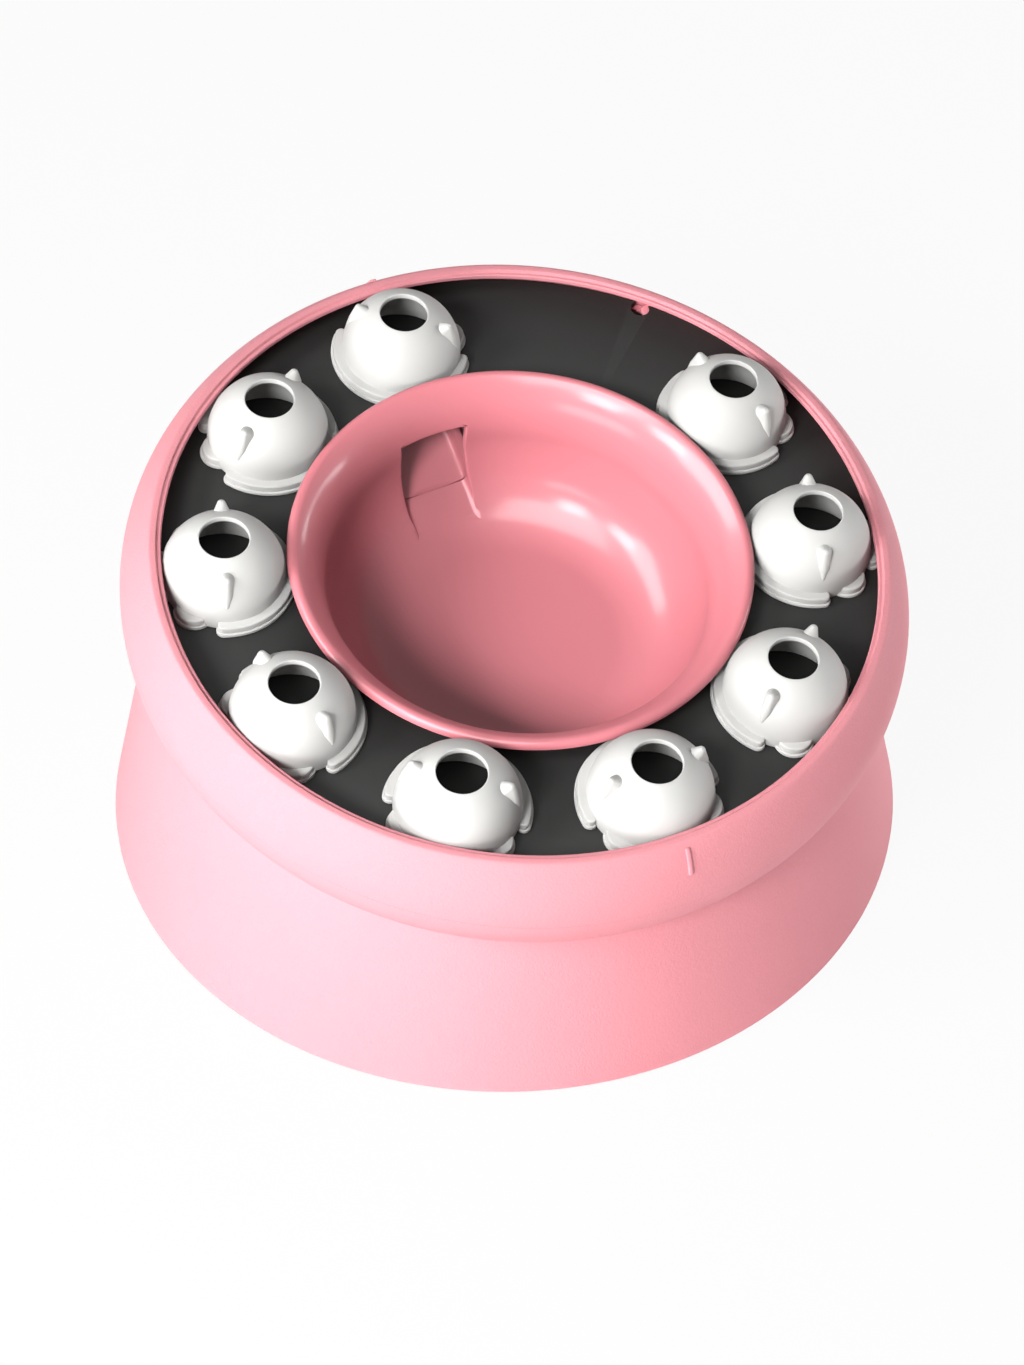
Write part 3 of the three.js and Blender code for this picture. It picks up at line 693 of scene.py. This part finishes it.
EAR_BELLY_SINK = 0.7
EAR_TAIL = 0.7
EAR_TAIL_SINK = 0.4
FIRST_DOME_TURN = math.radians(-36.5)
WHITE = (0.74, 0.735, 0.715, 1)
# Its spill of 0.6 is painted shade: bounce light from the domes is held back to 60 percent.
satin_white = moulded_plastic("satin white plastic", WHITE, roughness=0.5, grain_count=1400, grain_height=0.012,
                              tone_drift=0.03, spill=0.6, shine=0.1)


def dome_angle(height, radius):
    """Where a circle about the dome's centre reaches a height, in degrees."""
    return math.degrees(math.asin((height - DOME_CENTRE) / radius))


def plate(name, points, bottom, top):
    """A flat plate from an outline in plan, in mm, between two heights."""
    piece = draw_outline(name, points)
    bpy.ops.mesh.edge_face_add()
    bpy.ops.transform.translate(value=(0, -bottom * MM, 0))
    bpy.ops.mesh.extrude_region_move(TRANSFORM_OT_translate={"value": (0, (bottom - top) * MM, 0)})
    close_skin(piece)
    return place(piece, rotation=(-math.pi / 2, 0, 0))


def curved_bar(inner, outer, half_angle):
    """The plan of a bar bent round the origin, to both sides of +X, with round ends."""
    middle = (inner + outer) / 2
    end = (outer - inner) / 2
    turn = math.radians(half_angle)
    tips = [(middle * math.cos(turn), side * middle * math.sin(turn)) for side in (1, -1)]
    steps = 8 + round(half_angle / 2)
    return [
        *arc((0, 0), outer, -half_angle, half_angle, steps),
        *arc(tips[0], end, half_angle, half_angle + 180, 10)[1:-1],
        *arc((0, 0), inner, half_angle, -half_angle, steps),
        *arc(tips[1], end, 180 - half_angle, 360 - half_angle, 10)[1:-1],
    ]


def round_ball(radius, centre, flat=1):
    """A ball at a place in mm, or a lens where flat is below 1, lying on the side of the dome that faces it."""
    bpy.ops.object.select_all(action="DESELECT")
    bpy.ops.mesh.primitive_uv_sphere_add(segments=32, ring_count=16, radius=radius * MM)
    ball = bpy.context.object
    ball.scale.z = flat
    place(ball)
    outwards = Vector((centre.x, centre.y, centre.z - DOME_CENTRE))
    return place(ball, centre * MM, outwards.to_track_quat("Z", "Y").to_euler())


def on_dome(angle, height, side):
    """A place above an ear's line down the side of the dome, from its angle in degrees and its height in mm."""
    turn = math.radians(angle)
    reach = DOME_RADIUS + height
    return Vector((0, side * reach * math.cos(turn), DOME_CENTRE + reach * math.sin(turn)))


def make_ear(side):
    """One pointed ear: the skin stretched over its root in the dome's wall, its crown, its belly and its tail."""
    balls = [
        round_ball(EAR_ROOT, on_dome(EAR_HEAD_DEG, -EAR_ROOT_SINK, side), EAR_ROOT_FLAT),
        round_ball(EAR_CROWN, on_dome(EAR_HEAD_DEG, EAR_HEIGHT - EAR_CROWN, side)),
        round_ball(EAR_BELLY, on_dome(EAR_BELLY_DEG, -EAR_BELLY_SINK, side)),
        round_ball(EAR_TAIL, on_dome(EAR_TIP_DEG, -EAR_TAIL_SINK, side)),
    ]
    pick(balls[0])
    for ball in balls:
        ball.select_set(True)
    bpy.ops.object.join()
    bpy.ops.object.mode_set(mode="EDIT")
    bpy.ops.mesh.select_all(action="SELECT")
    bpy.ops.mesh.convex_hull()
    return close_skin(balls[0])


def make_dome():
    """One dome standing on the channel floor at the middle of the tray, with the bowl towards -X."""
    cavity = DOME_RADIUS - DOME_WALL
    hole_outer = math.degrees(math.acos(HOLE_RADIUS / DOME_RADIUS))
    hole_inner = math.degrees(math.acos(HOLE_RADIUS / cavity))
    centre = (0, DOME_CENTRE)
    dome = spin_ring("dome", [
        *arc(centre, DOME_RADIUS, dome_angle(DOME_FOOT, DOME_RADIUS), hole_outer, 24),
        *arc(centre, cavity, hole_inner, dome_angle(DOME_FOOT, cavity), 16),
    ], DOME_STEPS)
    round_edges(dome, HOLE_EDGE, 4, 30)
    rooted = DOME_RADIUS - DOME_WALL / 2
    root_inner = rooted - FOOT_OVERLAP
    step = FOOT_RADIUS - FOOT_STEP
    feet = [(middle, curved_bar(root_inner, FOOT_RADIUS, half_angle), curved_bar(rooted, FOOT_STEP, half_angle))
            for middle, half_angle in FOOT_BARS]
    paw_at = (FOOT_RADIUS - PAW_RADIUS, 0)
    for middle in (PAW_DEG, -PAW_DEG):
        feet.append((middle, arc(paw_at, PAW_RADIUS, 0, 350, 35), arc(paw_at, PAW_RADIUS - step, 0, 350, 35)))
    dome_space = [(0, -rooted), *arc(centre, root_inner, -89, 89, 32), (0, rooted)]
    for middle, lip_plan, bar_plan in feet:
        lip = plate("foot lip", lip_plan, DOME_FOOT + FOOT_LIP_RISE, FOOT_LIP)
        bar = plate("foot bar", bar_plan, DOME_FOOT + FOOT_BAR_RISE, FOOT_LEDGE)
        for part, edge in ((lip, FOOT_LIP_EDGE), (bar, FOOT_BAR_EDGE)):
            round_edges(part, edge, 4)
            combine(part, spin_ring("dome space", dome_space, 64))
            combine(dome, place(part, rotation=(0, 0, math.pi + math.radians(middle))), "UNION")
    for side in (1, -1):
        combine(dome, make_ear(side), "UNION")
    return dome


dome_model = make_dome()
dome_nodes = sorted(node for node in frame["nodes"] if node.startswith("dome_"))
across_tray = Vector((0, math.cos(tray_tilt), math.sin(tray_tilt)))
for node in dome_nodes:
    low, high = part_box(node)
    middle = (low + high) / 2 - tray_centre
    turn = math.atan2(middle.dot(across_tray), middle.x)
    dome = dome_model.copy()
    dome.data = dome_model.data.copy()
    dome.name = f"{node}_shell"
    bpy.context.collection.objects.link(dome)
    own_turn = FIRST_DOME_TURN if node == dome_nodes[0] else 0
    seat_in_tray(place(dome, ring_spot(math.degrees(turn), RING_RADIUS), (0, 0, turn + own_turn)))
    finish_piece(dome, satin_white, "dome_white", node, node)
bpy.data.objects.remove(dome_model)

# Deck screws
# Pan-head steel screws with a cross recess, turned and rolled from wire. They come up through the deck into the
# posts of the lower shell and hold the tray to the stand.
SCREW_RADIUS = 1.5
SCREW_LENGTH = 14
SCREW_HEAD_RADIUS = 3.4
SCREW_HEAD = 2.4
SCREW_FACE_RADIUS = 2.04
SCREW_HEAD_RIM = 0.8
CROSS_WIDTH = 0.9
CROSS_LENGTH = 3.8
CROSS_DEPTH = 1.2
STEEL = (0.6, 0.61, 0.63, 1)
STEEL_GRAIN = 3000
STEEL_ROUGHNESS = (0.25, 0.45)
screw_steel = bpy.data.materials.new("plain steel")
screw_steel.use_nodes = True
steel_nodes = screw_steel.node_tree.nodes
steel_shader = steel_nodes["Principled BSDF"]
steel_shader.inputs["Metallic"].default_value = 1
steel_shader.inputs["Base Color"].default_value = STEEL
steel_noise = steel_nodes.new("ShaderNodeTexNoise")
steel_noise.inputs["Scale"].default_value = STEEL_GRAIN
steel_range = steel_nodes.new("ShaderNodeMapRange")
steel_range.inputs["To Min"].default_value, steel_range.inputs["To Max"].default_value = STEEL_ROUGHNESS
steel_where = steel_nodes.new("ShaderNodeTexCoord")
steel_link = screw_steel.node_tree.links.new
steel_link(steel_where.outputs["Object"], steel_noise.inputs["Vector"])
steel_link(steel_noise.outputs["Fac"], steel_range.inputs["Value"])
steel_link(steel_range.outputs["Result"], steel_shader.inputs["Roughness"])
head_top = deck_top - DECK_THICKNESS - SEAT_GAP
head_face = head_top - SCREW_HEAD
for number, angle in enumerate(SCREW_ANGLES, 1):
    screw = spin_ring(f"deck_screw_{number}_steel", [
        (0, head_face),
        (SCREW_FACE_RADIUS, head_face),
        (SCREW_HEAD_RADIUS, head_top - SCREW_HEAD_RIM),
        (SCREW_HEAD_RADIUS, head_top),
        (SCREW_RADIUS, head_top),
        (SCREW_RADIUS, head_top + SCREW_LENGTH - SCREW_RADIUS),
        (0, head_top + SCREW_LENGTH),
    ], 32)
    for turn in (0, math.pi / 2):
        bar = prism("cross bar", [
            (-CROSS_LENGTH / 2, head_face - OVERCUT),
            (CROSS_LENGTH / 2, head_face - OVERCUT),
            (CROSS_LENGTH / 2, head_face + CROSS_DEPTH),
            (-CROSS_LENGTH / 2, head_face + CROSS_DEPTH),
        ], CROSS_WIDTH)
        combine(screw, place(bar, rotation=(0, 0, turn)))
    seat_in_tray(place(screw, ring_spot(angle, SCREW_CIRCLE)))
    finish_piece(screw, screw_steel, "screw_steel", "stand", f"deck_screw_{number}")

# Studio
# A pale floor that fades into a white surround, two soft keys from the front left and the left, a small low lamp
# at the front, a broad weak fill from the right and two large boxes that only show as gloss on the plastic.
FLOOR_SIZE = 6
PAPER_GREY = (0.7, 0.7, 0.7, 1)
PAPER_ROUGHNESS = 0.9
PAPER_GLOW = 0.93
SURROUND_LIGHT = 0.1
CAMERA_TARGET = Vector((2.45, -1.27, 52.08)) * MM
CAMERA_DISTANCE = 1166.5 * MM
CAMERA_AZIMUTH = math.radians(-27.34)
CAMERA_ELEVATION = math.radians(46.10)
CAMERA_LENS = 87.93
SENSOR = 36


def white_rays(tree):
    """1 for rays that should see a white surround, from the camera, a mirror or glass, and 0 for the others."""
    path = tree.nodes.new("ShaderNodeLightPath")
    total = path.outputs["Is Camera Ray"]
    for name in ("Is Glossy Ray", "Is Transmission Ray"):
        either = tree.nodes.new("ShaderNodeMath")
        either.use_clamp = True
        tree.links.new(total, either.inputs[0])
        tree.links.new(path.outputs[name], either.inputs[1])
        total = either.outputs[0]
    return total


bpy.ops.object.select_all(action="DESELECT")
bpy.ops.mesh.primitive_plane_add(size=FLOOR_SIZE)
floor = bpy.context.object
floor.name = "studio_floor"
floor_paper = bpy.data.materials.new("pale paper")
floor_paper.use_nodes = True
paper_nodes = floor_paper.node_tree.nodes
paper_link = floor_paper.node_tree.links.new
paper = paper_nodes["Principled BSDF"]
paper.inputs["Base Color"].default_value = PAPER_GREY
paper.inputs["Roughness"].default_value = PAPER_ROUGHNESS
glow = paper_nodes.new("ShaderNodeEmission")
share = paper_nodes.new("ShaderNodeMath")
share.operation = "MULTIPLY"
share.inputs[1].default_value = PAPER_GLOW
mixed = paper_nodes.new("ShaderNodeMixShader")
paper_link(white_rays(floor_paper.node_tree), share.inputs[0])
paper_link(share.outputs[0], mixed.inputs["Fac"])
paper_link(paper.outputs["BSDF"], mixed.inputs[1])
paper_link(glow.outputs["Emission"], mixed.inputs[2])
paper_link(mixed.outputs["Shader"], paper_nodes["Material Output"].inputs["Surface"])
floor.data.materials.append(floor_paper)

world = bpy.data.worlds.new("white surround")
bpy.context.scene.world = world
world.use_nodes = True
sky = world.node_tree.nodes["Background"]
sky.inputs["Color"].default_value = (1, 1, 1, 1)
sky_range = world.node_tree.nodes.new("ShaderNodeMapRange")
sky_range.inputs["To Min"].default_value = SURROUND_LIGHT
sky_range.inputs["To Max"].default_value = 1
world.node_tree.links.new(white_rays(world.node_tree), sky_range.inputs["Value"])
world.node_tree.links.new(sky_range.outputs["Result"], sky.inputs["Strength"])


def soft_box(name, azimuth, elevation, distance, width, height, power, gloss_only=False):
    """An area lamp that faces the feeder from a direction, in degrees, metres and watts, or only shows as gloss."""
    bpy.ops.object.select_all(action="DESELECT")
    turn = math.radians(azimuth)
    rise = math.radians(elevation)
    towards = Vector((math.cos(turn) * math.cos(rise), math.sin(turn) * math.cos(rise), math.sin(rise)))
    bpy.ops.object.light_add(type="AREA", location=CAMERA_TARGET + towards * distance)
    lamp = bpy.context.object
    lamp.name = name
    lamp.data.shape = "RECTANGLE"
    lamp.data.size = width
    lamp.data.size_y = height
    lamp.data.energy = power
    lamp.visible_diffuse = not gloss_only
    lamp.rotation_euler = (-towards).to_track_quat("-Z", "Y").to_euler()


soft_box("front key", 215, 38, 1.6, 0.4, 0.35, 14.6)
soft_box("side key", 180, 37, 1.6, 0.4, 0.35, 13.4)
soft_box("low front", 213, 14, 0.8, 0.5, 0.2, 2.8)
soft_box("right fill", 352, 6, 1.6, 1.0, 0.22, 11.5)
soft_box("front gloss box", 225, 57, 1.6, 1.3, 0.9, 42, gloss_only=True)
soft_box("left gloss box", 152, 36, 1.6, 1.1, 0.7, 36, gloss_only=True)

bpy.ops.object.select_all(action="DESELECT")
view_direction = Vector((
    math.sin(CAMERA_AZIMUTH) * math.cos(CAMERA_ELEVATION),
    -math.cos(CAMERA_AZIMUTH) * math.cos(CAMERA_ELEVATION),
    math.sin(CAMERA_ELEVATION),
))
bpy.ops.object.camera_add(location=CAMERA_TARGET + view_direction * CAMERA_DISTANCE)
camera = bpy.context.object
camera.rotation_euler = (-view_direction).to_track_quat("-Z", "Y").to_euler()
camera.data.sensor_fit = "VERTICAL"
camera.data.sensor_height = SENSOR
camera.data.lens = CAMERA_LENS
bpy.context.scene.camera = camera
bpy.context.scene.view_settings.view_transform = "Standard"
